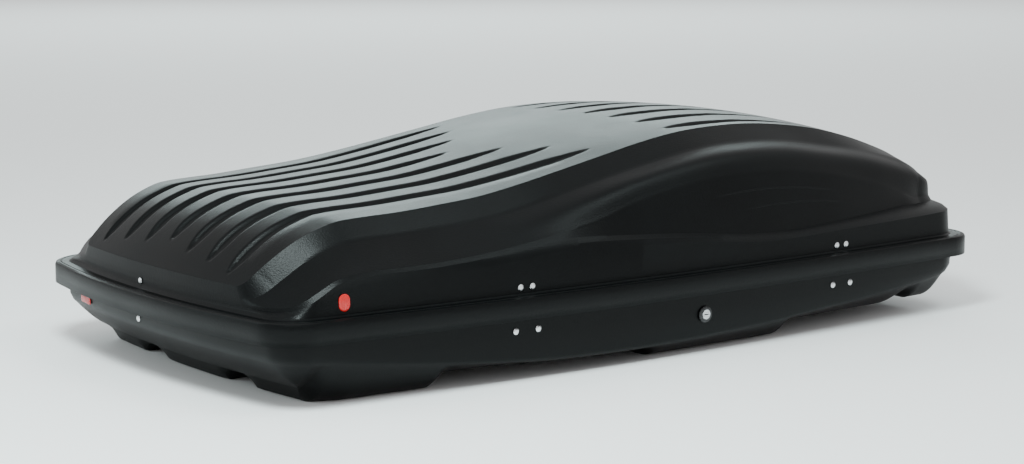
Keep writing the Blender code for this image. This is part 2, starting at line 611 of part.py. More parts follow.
def hinge(tag, x):
    """A leaf on the lid, a leaf on the tray and the pin that joins them under the lip."""
    lid_y = inner_face(lid_wall_y, x, 0.022)
    half = LEAF_WIDTH / 2
    crank = [
        (lid_y, 0.020), (lid_y - PLATE, 0.020), (lid_y - PLATE, -0.0085), (HINGE_Y - 0.001, -0.0085),
        (HINGE_Y - 0.001, HINGE_Z), (HINGE_Y + 0.001, HINGE_Z), (HINGE_Y + 0.001, -0.0065),
        (lid_y, -0.0065),
    ]
    lid_leaf = plate(f"{tag}_hinge_lid_leaf", [crank], LEAF_WIDTH, endwise(x, 0, 0))
    sides = []
    for near, far in ((-half - 0.001, -0.0081), (0.0081, half + 0.001)):
        sides.append(block(
            "clear", (x + near, HINGE_Y - 0.010, HINGE_Z - 0.01),
            (x + far, HINGE_Y + 0.010, HINGE_Z + KNUCKLE + 0.001),
        ))
    combine(lid_leaf, sides, "DIFFERENCE")
    knuckle = round_bar("knuckle", (x - 0.008, HINGE_Y, HINGE_Z), (1, 0, 0), 0.016, KNUCKLE)
    combine(lid_leaf, [knuckle], "UNION")
    bore = round_bar("pin_bore", (x - 0.03, HINGE_Y, HINGE_Z), (1, 0, 0), 0.06, HINGE_PIN + GAP)
    combine(lid_leaf, [bore, *rivet_cutters(x, lid_y, LID_RIVET_Z, LID_RIVET_PITCH)], "DIFFERENCE")

    wall = max(tray_wall_y(x + s, -0.020) for s in (-0.03, 0, 0.03)) + GAP
    leaf_top = HINGE_Z - 0.0045
    tray_leaf = block(
        f"{tag}_hinge_tray_leaf", (x - 0.027, wall, -0.060), (x + 0.027, wall + PLATE, leaf_top)
    )
    for s in (-1, 1):
        near, far = sorted((s * 0.0085, s * 0.018))
        arm = block(
            "arm", (x + near, wall, HINGE_Z - 0.007), (x + far, HINGE_Y - 0.002, HINGE_Z - 0.001)
        )
        eye = round_bar("eye", (x + near, HINGE_Y, HINGE_Z), (1, 0, 0), 0.0095, KNUCKLE)
        combine(tray_leaf, [arm, eye], "UNION")
    low = HINGE_Z - KNUCKLE - 0.0015
    swing = block("swing", (x - 0.0085, wall - 0.01, low), (x + 0.0085, wall + 0.02, 0))
    bore = round_bar("pin_bore", (x - 0.03, HINGE_Y, HINGE_Z), (1, 0, 0), 0.06, HINGE_PIN + GAP)
    combine(tray_leaf, [swing, bore, *rivet_cutters(x, wall, TRAY_RIVET_Z, TRAY_RIVET_PITCH)], "DIFFERENCE")
    pin = [
        (0, 0.0215), (0.0036, 0.0215), (0.0036, 0.0190), (HINGE_PIN, 0.0190), (HINGE_PIN, -0.0205),
        (0, -0.0205),
    ]
    turned(f"{tag}_hinge_pin", pin, (x, HINGE_Y, HINGE_Z), (1, 0, 0), ZINC)

    notch = block("notch", (x - half - 0.004, HINGE_Y - 0.024, -0.0215), (x + half + 0.004, SIDE, 0.01))
    pocket = block("pocket", (x - 0.0095, HINGE_Y - KNUCKLE - GAP, low), (x + 0.0095, SIDE, -0.02))
    pin_end = block("pin_end", (x + 0.0185, HINGE_Y - 0.0036 - GAP, low), (x + 0.0225, SIDE, -0.02))
    tray_inner = min(tray_wall_y(x + s, TRAY_RIVET_Z - 0.004) for s in (-0.024, 0.024)) - WALL * 1.05
    lid_holes, tray_holes = [], []
    rows = (
        ("lid", LID_RIVET_PITCH, LID_RIVET_Z, lambda u, z: lid_wall_y(u, z) + GAP, lid_y - PLATE, lid_holes),
        ("tray", TRAY_RIVET_PITCH, TRAY_RIVET_Z, lambda u, z: wall + PLATE + GAP, tray_inner, tray_holes),
    )
    for row, pitch, z, seat, inner, holes in rows:
        for which, offset in (("a", -pitch / 2), ("b", pitch / 2)):
            start = (x + offset, seat(x + offset, z), z)
            rivet(f"{tag}_hinge_{row}_rivet_{which}", start, (0, -1, 0), start[1] - inner + GAP)
            outside = (start[0], start[1] + 0.004, z)
            holes.append(round_bar("rivet_hole", outside, (0, -1, 0), 0.018, RIVET_HOLE, sides=8))
    return lid_holes, [*tray_holes, notch, pocket, pin_end]


def lock(rod_y):
    """The lock's barrel in the tray's wall, its plug, and the cam that drives the rod."""
    face = -(tray_wall_y(LOCK_X, LOCK_Z + 0.013) + GAP)
    depth = 0.0145
    body = [
        (0, 0.003), (0.0105, 0.003), (0.0125, 0.0018), (0.0125, 0), (BARREL, 0), (BARREL, -depth),
        (0, -depth),
    ]
    barrel = turned("lock_barrel", body, (LOCK_X, face, LOCK_Z), (0, -1, 0), BLACK_NYLON, 16)
    bore = round_bar("barrel_bore", (LOCK_X, face - 0.01, LOCK_Z), (0, 1, 0), 0.04, PLUG + GAP, sides=16)
    combine(barrel, [bore], "DIFFERENCE")
    cam_y = face + depth + 0.0006
    length = 0.0036 + depth + 0.0004
    plug = round_bar("lock_plug", (LOCK_X, face - 0.0036, LOCK_Z), (0, 1, 0), length, PLUG, sides=16)
    keyway = block(
        "keyway", (LOCK_X - 0.0042, face - 0.01, LOCK_Z - 0.0008),
        (LOCK_X + 0.0042, face + 0.006, LOCK_Z + 0.0008),
    )
    combine(plug, [keyway], "DIFFERENCE")

    crank = LOCK_THROW / math.sqrt(2)
    pin_x, pin_z = -LOCK_THROW / 2, LOCK_THROW / 2
    arm = [
        (-0.0045, -0.0045), (0.0045, -0.0045), (0.0062, 0.0), (0.0045, 0.0045),
        (pin_x + 0.0030, pin_z + 0.0030), (pin_x - 0.0030, pin_z - 0.0030),
    ]
    cam = plate("lock_cam", [arm], PLATE, upright(LOCK_X, cam_y + PLATE / 2 + GAP, LOCK_Z))
    slot_y = cam_y + PLATE + GAP
    pin_at = (LOCK_X + pin_x, cam_y + PLATE / 2, LOCK_Z + pin_z)
    pin = round_bar("cam_pin", pin_at, (0, 1, 0), 0.005, 0.0018, sides=8)
    combine(cam, [pin], "UNION")

    rod_start = (HARDWARE_X[0] - 0.045, rod_y, ROD_Z)
    rod = round_bar("locking_rod", rod_start, (1, 0, 0), HARDWARE_X[1] - HARDWARE_X[0] + 0.10, ROD)
    low, high = LOCK_Z + crank - 0.0085, ROD_Z
    middle, near, far = LOCK_X + pin_x, slot_y + GAP, slot_y + GAP + PLATE
    tab = block("tab", (middle - 0.0065, near, low - 0.003), (middle + 0.0065, far, high))
    neck = block(
        "neck", (middle - 0.0065, min(near, rod_y), ROD_Z - 0.0035),
        (middle + 0.0065, max(far, rod_y), ROD_Z + 0.0015),
    )
    combine(rod, [tab, neck], "UNION")
    slot = block(
        "slot", (middle - 0.0024, slot_y - 0.004, low), (middle + 0.0024, slot_y + 0.012, low + 0.011)
    )
    combine(rod, [slot], "DIFFERENCE")
    hole = round_bar("lock_hole", (LOCK_X, face - 0.01, LOCK_Z), (0, 1, 0), 0.03, BARREL + GAP, sides=16)
    return [hole]


# ---------------------------------------------------------------- lid stays


def stay(tag, end):
    """A two-link folding stay across one end wall. end is -1 at the nose and +1 at the tail."""
    plane = end * (HALF - STAY_PLANE)
    half_gap = PLATE / 2
    lower_x, upper_x = plane - end * half_gap, plane - end * (half_gap + PLATE + GAP)
    rise = STAY_LID_Z - STAY_TRAY_Z
    dip = math.asin(rise / 2 / STAY_LINK)
    elbow = (STAY_Y - STAY_LINK * math.cos(dip), (STAY_LID_Z + STAY_TRAY_Z) / 2)

    def link(name, x, foot, tilt):
        lobe = [math.radians(a) for a in range(90, 271, 36)]
        reach = STAY_LINK
        outline = [(-reach + STAY_END * math.cos(a), STAY_END * math.sin(a)) for a in lobe]
        outline += [(-STAY_END * math.cos(a), -STAY_END * math.sin(a)) for a in lobe]
        holes = [circle(RIVET_HOLE, 8), circle(RIVET_HOLE, 8, -reach)]
        turn = Matrix.Rotation(tilt, 4, "Z")
        return plate(name, [outline, *holes], PLATE, endwise(x, *foot) @ turn)

    link(f"{tag}_stay_tray_link", lower_x, (STAY_Y, STAY_TRAY_Z), -dip)
    link(f"{tag}_stay_lid_link", upper_x, (STAY_Y, STAY_LID_Z), dip)

    thick = 2 * PLATE + GAP
    pin = [
        (0, 0.0016), (0.0045, 0.0016), (0.0045, GAP), (0.0024, GAP), (0.0024, -thick - GAP),
        (0.0045, -thick - GAP), (0.0045, -thick - 0.0016), (0, -thick - 0.0016),
    ]
    turned(f"{tag}_stay_elbow_pin", pin, (plane, *elbow), (end, 0, 0), ZINC)

    def stud(name, z, wall, stop, tail):
        """A shouldered stud from outside the end wall to the link that turns on it."""
        outside = on_box(end * (HALF - wall), STAY_Y, 0).x + end * GAP
        inside = abs(outside) - WALL * 1.4 - GAP * 3
        deep = abs(outside) - abs(stop)
        shoulder = abs(outside) - inside
        profile = [
            (0, 0.0019), (RIVET_HEAD * 0.6, 0.0016), (RIVET_HEAD, 0.0004), (RIVET_HEAD, 0),
            (RIVET_SHANK, 0), (RIVET_SHANK, -shoulder), (0.0045, -shoulder), (0.0045, -deep),
        ]
        if tail:
            washer, end_face = -deep - PLATE - 2 * GAP, -deep - PLATE - 0.0016
            profile += [
                (RIVET_SHANK, -deep), (RIVET_SHANK, washer), (0.0040, washer), (0.0040, end_face),
                (0, end_face),
            ]
        else:
            profile.append((0, -deep))
        turned(name, profile, (outside, STAY_Y, z), (end, 0, 0), ALUMINIUM)
        start = (outside + end * 0.005, STAY_Y, z)
        return round_bar("stud_hole", start, (-end, 0, 0), 0.014, RIVET_HOLE, sides=8)

    lid_end = LEDGE + (0.0057 if end < 0 else 0.0034)
    lid_stop, tray_stop = upper_x + end * (half_gap + GAP), lower_x + end * (half_gap + GAP)
    lid_hole = stud(f"{tag}_stay_lid_stud", STAY_LID_Z, lid_end, lid_stop, False)
    tray_hole = stud(f"{tag}_stay_tray_stud", STAY_TRAY_Z, TRAY_INSET + 0.0016, tray_stop, True)
    return lid_hole, tray_hole


# ---------------------------------------------------------------- crossbar clamps


def u_bolt(name, x, y, floor):
    """A U-bolt drawn up against the floor's underside."""
    curve = bpy.data.curves.new(name, "CURVE")
    curve.dimensions = "3D"
    curve.bevel_depth = BOLT
    curve.bevel_resolution = 1
    curve.use_fill_caps = True
    bend, low, top = 0.008, floor - GAP - BOLT, floor - GAP - BOLT + BOLT_LEG
    path = [(-CLAMP_SPREAD, top)]
    for k in range(5):
        a = math.radians(22.5 * k)
        path.append((-CLAMP_SPREAD + bend * (1 - math.cos(a)), low + bend * (1 - math.sin(a))))
    path += [(-u, z) for u, z in reversed(path)]
    spline = curve.splines.new("POLY")
    spline.points.add(len(path) - 1)
    for point, (u, z) in zip(spline.points, path):
        point.co = (u, 0, z, 1)
    made = bpy.data.objects.new(name, curve)
    made.data.materials.append(ZINC)
    box_collection.objects.link(made)
    made.location = (x, y, TRAY_DEPTH)
    return made


def knob(name, x, y, foot):
    """A six-lobed hand knob on one leg."""
    star = [(KNOB + 0.0022 * math.cos(6 * a)) for a in (math.pi / 12 * k for k in range(24))]
    outline = [(r * math.cos(math.pi / 12 * k), r * math.sin(math.pi / 12 * k)) for k, r in enumerate(star)]
    middle = Matrix.Translation((x, y, foot + KNOB_HEIGHT / 2 + TRAY_DEPTH))
    return plate(name, [outline, circle(BOLT + 0.0006, 8)], KNOB_HEIGHT, middle, BLACK_NYLON)


def clamp(tag, x, y):
    """A U-bolt, the bridge plate over the tray's floor and two knobs."""
    floor = RECESS_RISE - TRAY_DEPTH
    u_bolt(f"{tag}_u_bolt", x, y, floor)
    foot = floor + WALL + GAP
    half, width = CLAMP_SPREAD + 0.018, 0.016
    outline = [(-half, -width), (half, -width), (half, width), (-half, width)]
    holes = [circle(BOLT + 0.0006, 8, s * CLAMP_SPREAD) for s in (-1, 1)]
    middle = Matrix.Translation((x, y, foot + 0.0015 + TRAY_DEPTH))
    plate(f"{tag}_bridge_plate", [outline, *holes], 0.003, middle)
    slots = []
    for which, s in (("front", -1), ("rear", 1)):
        knob(f"{tag}_{which}_knob", x + s * CLAMP_SPREAD, y, foot + 0.003 + GAP)
        middle = x + s * CLAMP_SPREAD
        slots.append(block(
            "floor_slot", (middle - 0.011, y - 0.0045, floor - 0.004),
            (middle + 0.011, y + 0.0045, floor + 0.012),
        ))
    return slots


def main():
    start_scene()
    lid, tray = lid_shell(), tray_skin()
    rod_y = -(inner_face(lid_wall_y, HARDWARE_X[1], 0.022) - PLATE - 0.0015 - ROD)
    lid_cuts, tray_cuts = [], []
    for tag, x in zip(("front", "rear"), HARDWARE_X):
        for cuts in (latch(tag, x, rod_y), hinge(tag, x)):
            lid_cuts += cuts[0]
            tray_cuts += cuts[1]
    tray_cuts += lock(rod_y)
    for tag, end in (("front", -1), ("rear", 1)):
        lid_hole, tray_hole = stay(tag, end)
        lid_cuts.append(lid_hole)
        tray_cuts.append(tray_hole)
    for bar, x in zip(("front", "rear"), BAR_X):
        for hand, side in (("lock_side", -1), ("hinge_side", 1)):
            tray_cuts += clamp(f"{bar}_{hand}", x, side * (SIDE - CLAMP_INSET))
    combine(lid, lid_cuts, "DIFFERENCE")
    combine(tray, tray_cuts, "DIFFERENCE")


main()
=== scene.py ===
import math

import bmesh
import bpy
import numpy as np
from mathutils import Matrix, Vector
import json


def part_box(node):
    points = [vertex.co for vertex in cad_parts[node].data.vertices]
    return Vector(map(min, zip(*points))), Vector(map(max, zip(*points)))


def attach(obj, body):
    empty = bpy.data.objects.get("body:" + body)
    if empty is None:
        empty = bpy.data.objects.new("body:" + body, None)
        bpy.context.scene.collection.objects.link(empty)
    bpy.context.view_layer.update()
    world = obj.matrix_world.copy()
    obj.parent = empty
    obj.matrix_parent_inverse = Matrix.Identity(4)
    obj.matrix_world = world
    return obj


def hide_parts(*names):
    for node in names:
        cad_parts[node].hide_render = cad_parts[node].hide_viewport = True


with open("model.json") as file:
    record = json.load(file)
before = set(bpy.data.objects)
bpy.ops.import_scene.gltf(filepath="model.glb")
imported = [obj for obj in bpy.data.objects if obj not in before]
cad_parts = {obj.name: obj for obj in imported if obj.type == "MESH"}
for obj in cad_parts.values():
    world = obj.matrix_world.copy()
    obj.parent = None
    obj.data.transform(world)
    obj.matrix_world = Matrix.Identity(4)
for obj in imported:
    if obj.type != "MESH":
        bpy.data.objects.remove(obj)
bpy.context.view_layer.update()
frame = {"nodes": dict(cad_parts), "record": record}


# ---------------------------------------------------------------- studio
# A pale floor and four soft boxes. The large one far behind grazes the top, and the others pick out
# the nose, its corner and the wing, so that the black skin shows its creases as long highlights.

camera = bpy.data.objects.new("camera", bpy.data.cameras.new("camera"))
bpy.context.scene.collection.objects.link(camera)
camera.data.lens = 83.42
camera.data.sensor_width = 36
camera.location = (-2.2574, -2.9920, 0.7317)
camera.rotation_euler = (math.radians(81.1604), 0, math.radians(-36.7983))
bpy.context.scene.camera = camera


def soft_light(name, place, aim, size, watts, colour=(1, 1, 1)):
    lamp = bpy.data.lights.new(name, "AREA")
    lamp.shape = "RECTANGLE"
    lamp.size, lamp.size_y = size
    lamp.energy = watts
    lamp.color = colour
    holder = bpy.data.objects.new(name, lamp)
    bpy.context.scene.collection.objects.link(holder)
    holder.location = place
    holder.rotation_euler = (Vector(aim) - Vector(place)).to_track_quat("-Z", "Y").to_euler()


soft_light("behind", (4.6, 7.4, 3.3), (0.1, 0, 0.2), (6.0, 2.0), 250, (0.80, 1.0, 1.0))
soft_light("nose_side", (-3.2, 1.6, 1.5), (-0.5, 0, 0.2), (1.4, 1.2), 26, (0.80, 1.0, 1.0))
soft_light("corner", (-1.37, -1.06, 2.1), (-0.6, -0.25, 0.1), (0.7, 0.7), 95, (0.85, 1.0, 1.0))
soft_light("wing", (0.9, -1.5, 2.4), (0.3, -0.3, 0.2), (1.6, 0.5), 22, (0.85, 1.0, 1.0))

world = bpy.data.worlds.new("studio")
bpy.context.scene.world = world
world.use_nodes = True
world.node_tree.nodes["Background"].inputs["Color"].default_value = (1, 1, 1, 1)
world.node_tree.nodes["Background"].inputs["Strength"].default_value = 0.9

floor_mesh = bpy.data.meshes.new("floor")
floor_mesh.from_pydata([(-30, -30, 0), (30, -30, 0), (30, 30, 0), (-30, 30, 0)], [], [(0, 1, 2, 3)])
floor = bpy.data.objects.new("floor", floor_mesh)
bpy.context.scene.collection.objects.link(floor)
floor_paint = bpy.data.materials.new("floor_paint")
floor_paint.use_nodes = True
floor_paint.node_tree.nodes["Principled BSDF"].inputs["Base Color"].default_value = (0.93, 0.93, 0.93, 1)
floor_paint.node_tree.nodes["Principled BSDF"].inputs["Roughness"].default_value = 0.9
floor_mesh.materials.append(floor_paint)


# ---------------------------------------------------------------- lid
# The upper shell, vacuum-formed from black ABS sheet with a fine leather grain: a lip that hangs
# over the tray, a ledge, an upright wall, a winged shoulder and a crown with pressed ribs.

lid_low, lid_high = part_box("lid_shell")
HALF_LENGTH = (lid_high[0] - lid_low[0]) / 2
HALF_WIDTH = (lid_high[1] - lid_low[1]) / 2
LIP_HEIGHT = 0.032
LIP_TOP = lid_low[2] + LIP_HEIGHT
LINE_RISE = 0.2045
SHEET = 0.004
LEDGE = 0.021
LIP_TURN = 0.056
NOSE_BOW, TAIL_BOW, SIDE_BOW = 0.037, 0.015, 0.029

# The lid's lines, as (station, half width, height), from the crown down to the wall above the lip.
CROWN_EDGE = (
    (-0.965, 0.642, 0.150), (-0.920, 0.670, 0.285), (-0.877, 0.682, 0.390), (-0.833, 0.690, 0.474),
    (-0.789, 0.698, 0.532), (-0.744, 0.702, 0.570), (-0.600, 0.703, 0.592), (-0.500, 0.699, 0.615),
    (-0.391, 0.688, 0.644), (-0.280, 0.669, 0.696), (-0.165, 0.650, 0.762), (-0.049, 0.633, 0.832),
    (0.071, 0.617, 0.904), (0.194, 0.602, 0.956), (0.330, 0.592, 0.972), (0.450, 0.590, 0.955),
    (0.600, 0.598, 0.890), (0.722, 0.604, 0.795), (0.838, 0.612, 0.665), (0.896, 0.616, 0.578),
    (0.934, 0.614, 0.500), (0.958, 0.600, 0.420),
)
VALLEY = (
    (-0.965, 0.690, 0.085), (-0.940, 0.722, 0.120), (-0.899, 0.737, 0.210), (-0.857, 0.749, 0.305),
    (-0.812, 0.757, 0.390), (-0.767, 0.763, 0.432), (-0.721, 0.767, 0.446), (-0.620, 0.767, 0.458),
    (-0.420, 0.761, 0.502), (-0.312, 0.747, 0.545), (-0.165, 0.734, 0.640), (0.000, 0.720, 0.740),
    (0.194, 0.705, 0.838), (0.330, 0.696, 0.856), (0.450, 0.690, 0.838), (0.580, 0.688, 0.776),
    (0.722, 0.700, 0.700), (0.838, 0.708, 0.605), (0.900, 0.708, 0.525), (0.958, 0.680, 0.410),
)
ARCH = (
    (-0.965, 0.700, 0.060), (-0.932, 0.885, 0.070), (-0.891, 0.908, 0.150), (-0.834, 0.918, 0.245),
    (-0.760, 0.918, 0.276), (-0.594, 0.912, 0.286), (-0.440, 0.904, 0.318), (-0.330, 0.895, 0.360),
    (-0.250, 0.886, 0.392), (-0.153, 0.873, 0.448), (-0.039, 0.862, 0.545), (0.076, 0.856, 0.612),
    (0.193, 0.852, 0.652), (0.315, 0.850, 0.660), (0.444, 0.846, 0.630), (0.580, 0.838, 0.560),
    (0.728, 0.825, 0.440), (0.807, 0.812, 0.360), (0.860, 0.798, 0.305), (0.958, 0.745, 0.275),
)
SILL = (
    (-0.965, 0.705, 0.040), (-0.932, 0.908, 0.045), (-0.891, 0.927, 0.120), (-0.834, 0.935, 0.222),
    (-0.760, 0.934, 0.250), (-0.594, 0.928, 0.256), (-0.440, 0.920, 0.286), (-0.330, 0.912, 0.326),
    (-0.250, 0.905, 0.346), (-0.063, 0.900, 0.316), (0.120, 0.898, 0.268), (0.260, 0.898, 0.218),
    (0.383, 0.894, 0.202), (0.562, 0.879, 0.220), (0.715, 0.851, 0.240), (0.797, 0.832, 0.250),
    (0.860, 0.818, 0.246), (0.958, 0.765, 0.240),
)
WALL_TOP = (
    (-0.965, 0.022), (-0.932, 0.025), (-0.891, 0.095), (-0.834, 0.192), (-0.760, 0.216),
    (-0.594, 0.222), (-0.440, 0.250), (-0.330, 0.288), (-0.250, 0.308), (-0.063, 0.284),
    (0.120, 0.236), (0.260, 0.184), (0.336, 0.170), (0.527, 0.184), (0.662, 0.196),
    (0.808, 0.206), (0.946, 0.222),
)

# Seven pressed ribs over the nose and seven over the tail, as the stations of each rib's two ends
# from the middle one outwards, and how long its two tips are.
RIB_PITCH = 0.0655
RIB_HALF = 0.0150
RIB_DEPTH = 0.0058
NOSE_RIBS = ((-0.908, -0.205), (-0.920, -0.128), (-0.928, -0.066), (-0.940, -0.030))
TAIL_RIBS = ((0.176, 0.66), (0.178, 0.64), (0.180, 0.62), (0.184, 0.60))
NOSE_TIPS = (0.035, 0.11)
TAIL_TIPS = (0.09, 0.40)


def follow(points, at):
    """A smooth curve through (x, y) points, flat beyond its ends."""
    xs, ys = (np.array(side) for side in zip(*points))
    at = np.clip(np.asarray(at, float), xs[0], xs[-1])
    k = np.clip(np.searchsorted(xs, at, side="right") - 1, 0, len(xs) - 2)
    slopes = np.empty(len(xs))
    slopes[1:-1] = (ys[2:] - ys[:-2]) / (xs[2:] - xs[:-2])
    slopes[0], slopes[-1] = (ys[1] - ys[0]) / (xs[1] - xs[0]), (ys[-1] - ys[-2]) / (xs[-1] - xs[-2])
    span = xs[k + 1] - xs[k]
    t = (at - xs[k]) / span
    return (
        (2 * t**3 - 3 * t**2 + 1) * ys[k] + (t**3 - 2 * t**2 + t) * span * slopes[k]
        + (3 * t**2 - 2 * t**3) * ys[k + 1] + (t**3 - t**2) * span * slopes[k + 1]
    )


def ease(t):
    """0 to 1 with level ends."""
    t = np.clip(t, 0.0, 1.0)
    return t * t * (3 - 2 * t)


def on_box(points):
    """Points of a straight box, z above the top of the lip, placed on the bowed box."""
    x, y, z = points.T
    along, across = x / HALF_LENGTH, y / HALF_WIDTH
    bow = np.where(along < 0, NOSE_BOW, -TAIL_BOW)
    return np.column_stack((
        x + bow * (along * across) ** 2, y * (1 - SIDE_BOW / HALF_WIDTH * along**2), z + LIP_TOP
    ))


def half_ring(nose, tail, flat, turn, width_at, height_at, stations):
    """Points from the middle of the nose, round the lock side, to the middle of the tail."""
    nose_flat, tail_flat = flat
    first, last = nose + turn, tail - turn
    nose_y = np.concatenate((NOSE_SHARES * nose_flat, [nose_flat]))
    angle = np.radians(np.linspace(0, 90, 11))[1:]
    nose_turn = np.column_stack((
        nose + turn * (1 - np.cos(angle)), nose_flat + (width_at(first) - nose_flat) * np.sin(angle)
    ))
    along = np.clip(stations * HALF_LENGTH, first, last)
    side = np.column_stack((along, width_at(along)))
    tail_turn = np.column_stack((
        tail - turn * (1 - np.cos(angle)), tail_flat + (width_at(last) - tail_flat) * np.sin(angle)
    ))[::-1]
    tail_y = np.concatenate(([tail_flat], (NOSE_SHARES * tail_flat)[::-1]))
    x, y = np.vstack((
        np.column_stack((np.full(len(nose_y), nose), nose_y)), nose_turn, side, tail_turn,
        np.column_stack((np.full(len(tail_y), tail), tail_y)),
    )).T
    return np.column_stack((x, -y, height_at(x, y)))


def inset_ring(inset, height_at, turn, stations):
    """A ring a set distance inside the lip's outline."""
    turn = max(turn, 0.001)
    flat = HALF_WIDTH - inset - turn
    return half_ring(
        inset - HALF_LENGTH, HALF_LENGTH - inset, (flat, flat), turn,
        lambda x: np.full(np.shape(x), HALF_WIDTH - inset),
        height_at if callable(height_at) else lambda x, y: np.full(np.shape(x), height_at), stations,
    )


def filled(rings, counts, soft):
    """Rings with more between them: counts[i] after ring i, curving through each soft ring."""
    made = []
    for i in range(len(rings) - 1):
        here, there = rings[i], rings[i + 1]
        leave = (there - rings[i - 1]) / 2 if soft[i] and i else there - here
        arrive = (rings[i + 2] - here) / 2 if soft[i + 1] and i + 2 < len(rings) else there - here
        for t in np.arange(counts[i] + 1) / (counts[i] + 1):
            made.append(
                (2 * t**3 - 3 * t**2 + 1) * here + (t**3 - 2 * t**2 + t) * leave
                + (3 * t**2 - 2 * t**3) * there + (t**3 - t**2) * arrive
            )
    return made + [rings[-1]]


def skin(name, rings, outward_z, dropped=lambda ring, station, side: False):
    """A smooth sheet over half rings and their mirror images, thickened inwards."""
    count = len(rings[0])
    loop = 2 * count - 2
    points = np.vstack([
        np.vstack((half, half[-2:0:-1] * (1, -1, 1))) for half in rings
    ])
    points = on_box(points)
    faces = []
    for r in range(len(rings) - 1):
        for i in range(loop):
            station = i if i < count - 1 else loop - 1 - i
            if dropped(r, station, -1 if i < count - 1 else 1):
                continue
            j = (i + 1) % loop
            faces.append((r * loop + i, r * loop + j, (r + 1) * loop + j, (r + 1) * loop + i))
    base = (len(rings) - 1) * loop
    faces.append((base, base + 1, base + loop - 1))
    for i in range(1, count - 2):
        faces.append((base + i, base + i + 1, base + loop - i - 1, base + loop - i))
    faces.append((base + count - 2, base + count - 1, base + count))
    work = bmesh.new()
    corners = [work.verts.new(point) for point in points]
    for face in faces:
        work.faces.new([corners[i] for i in face])
    bmesh.ops.remove_doubles(work, verts=work.verts, dist=0.00005)
    bmesh.ops.delete(work, geom=[v for v in work.verts if not v.link_faces], context="VERTS")
    bmesh.ops.recalc_face_normals(work, faces=work.faces)
    work.normal_update()
    if sum(face.normal.z * face.calc_area() for face in work.faces) * outward_z < 0:
        bmesh.ops.reverse_faces(work, faces=work.faces)
    mesh = bpy.data.meshes.new(name)
    work.to_mesh(mesh)
    work.free()
    mesh.shade_smooth()
    mesh.set_sharp_from_angle(angle=math.radians(24))
    made = bpy.data.objects.new(name, mesh)
    bpy.context.scene.collection.objects.link(made)
    thick = made.modifiers.new("sheet", "SOLIDIFY")
    thick.thickness = SHEET
    thick.offset = -1
    return made


def line_width(line, x):
    return HALF_WIDTH * follow([(s, w) for s, w, _ in line], x / HALF_LENGTH)


def line_height(line, x):
    return LINE_RISE * follow([(s, h) for s, _, h in line], x / HALF_LENGTH)


def rib_cut(x, y):
    """How deep the pressed ribs are at a place on the crown."""
    cut = np.zeros(np.shape(x))
    station = x / HALF_LENGTH
    for k in range(4):
        across = np.abs(y - k * RIB_PITCH)
        for (start, end), (first_tip, last_tip) in ((NOSE_RIBS[k], NOSE_TIPS), (TAIL_RIBS[k], TAIL_TIPS)):
            taper = np.clip((station - start) / first_tip, 0, 1) * np.clip((end - station) / last_tip, 0, 1)
            reach = RIB_HALF * np.sqrt(taper) + 1e-6
            depth = RIB_DEPTH * np.sqrt(taper)
            cut = np.maximum(cut, depth * (1 - ease((across / reach - 0.35) / 0.65)))
    return cut


def crown_height(x, y):
    rise = 0.010 + 0.0015 * ease(x / HALF_LENGTH)
    across = np.minimum(y / line_width(CROWN_EDGE, x), 1.0)
    top = line_height(CROWN_EDGE, x) + rise * (1 - across**2) * ease((x / HALF_LENGTH + 0.97) / 0.12)
    return top - rib_cut(x, y)


def line_ring(line, nose, tail, flat, turn):
    return half_ring(
        nose, tail, (HALF_WIDTH * flat[0], HALF_WIDTH * flat[1]), turn,
        lambda x: line_width(line, x), lambda x, y: line_height(line, x), LID_STATIONS,
    )


NOSE_SHARES = np.linspace(0, 1, 25)[:-1]
LID_STATIONS = np.concatenate((np.linspace(-0.945, -0.70, 45), np.linspace(-0.695, 0.945, 165)))
EDGE_NOSE = LEDGE + 0.0085 - HALF_LENGTH
EDGE_TAIL = HALF_LENGTH - LEDGE - 0.0085

sill = line_ring(SILL, EDGE_NOSE - 0.0022, EDGE_TAIL + 0.0022, (0.65, 0.725), 0.050)
arch = line_ring(ARCH, EDGE_NOSE - 0.0020, EDGE_TAIL + 0.0016, (0.65, 0.71), 0.050)
valley = line_ring(VALLEY, EDGE_NOSE - 0.0012, EDGE_TAIL + 0.0008, (0.65, 0.64), 0.035)
crown = line_ring(CROWN_EDGE, EDGE_NOSE, EDGE_TAIL, (0.62, 0.56), 0.022)
swell = 0.0085 * ease((arch[:, :1] / HALF_LENGTH + 0.50) / 0.5) * (1, -1, 1) * (0, 1, 1)
shoulder = (arch + valley) / 2 + swell
wall_top = inset_ring(
    LEDGE + 0.0055, lambda x, y: LINE_RISE * follow(WALL_TOP, x / HALF_LENGTH), LIP_TURN - 0.008, LID_STATIONS
)
below_wall = inset_ring(LEDGE + 0.003, 0.002, LIP_TURN - 0.007, LID_STATIONS)

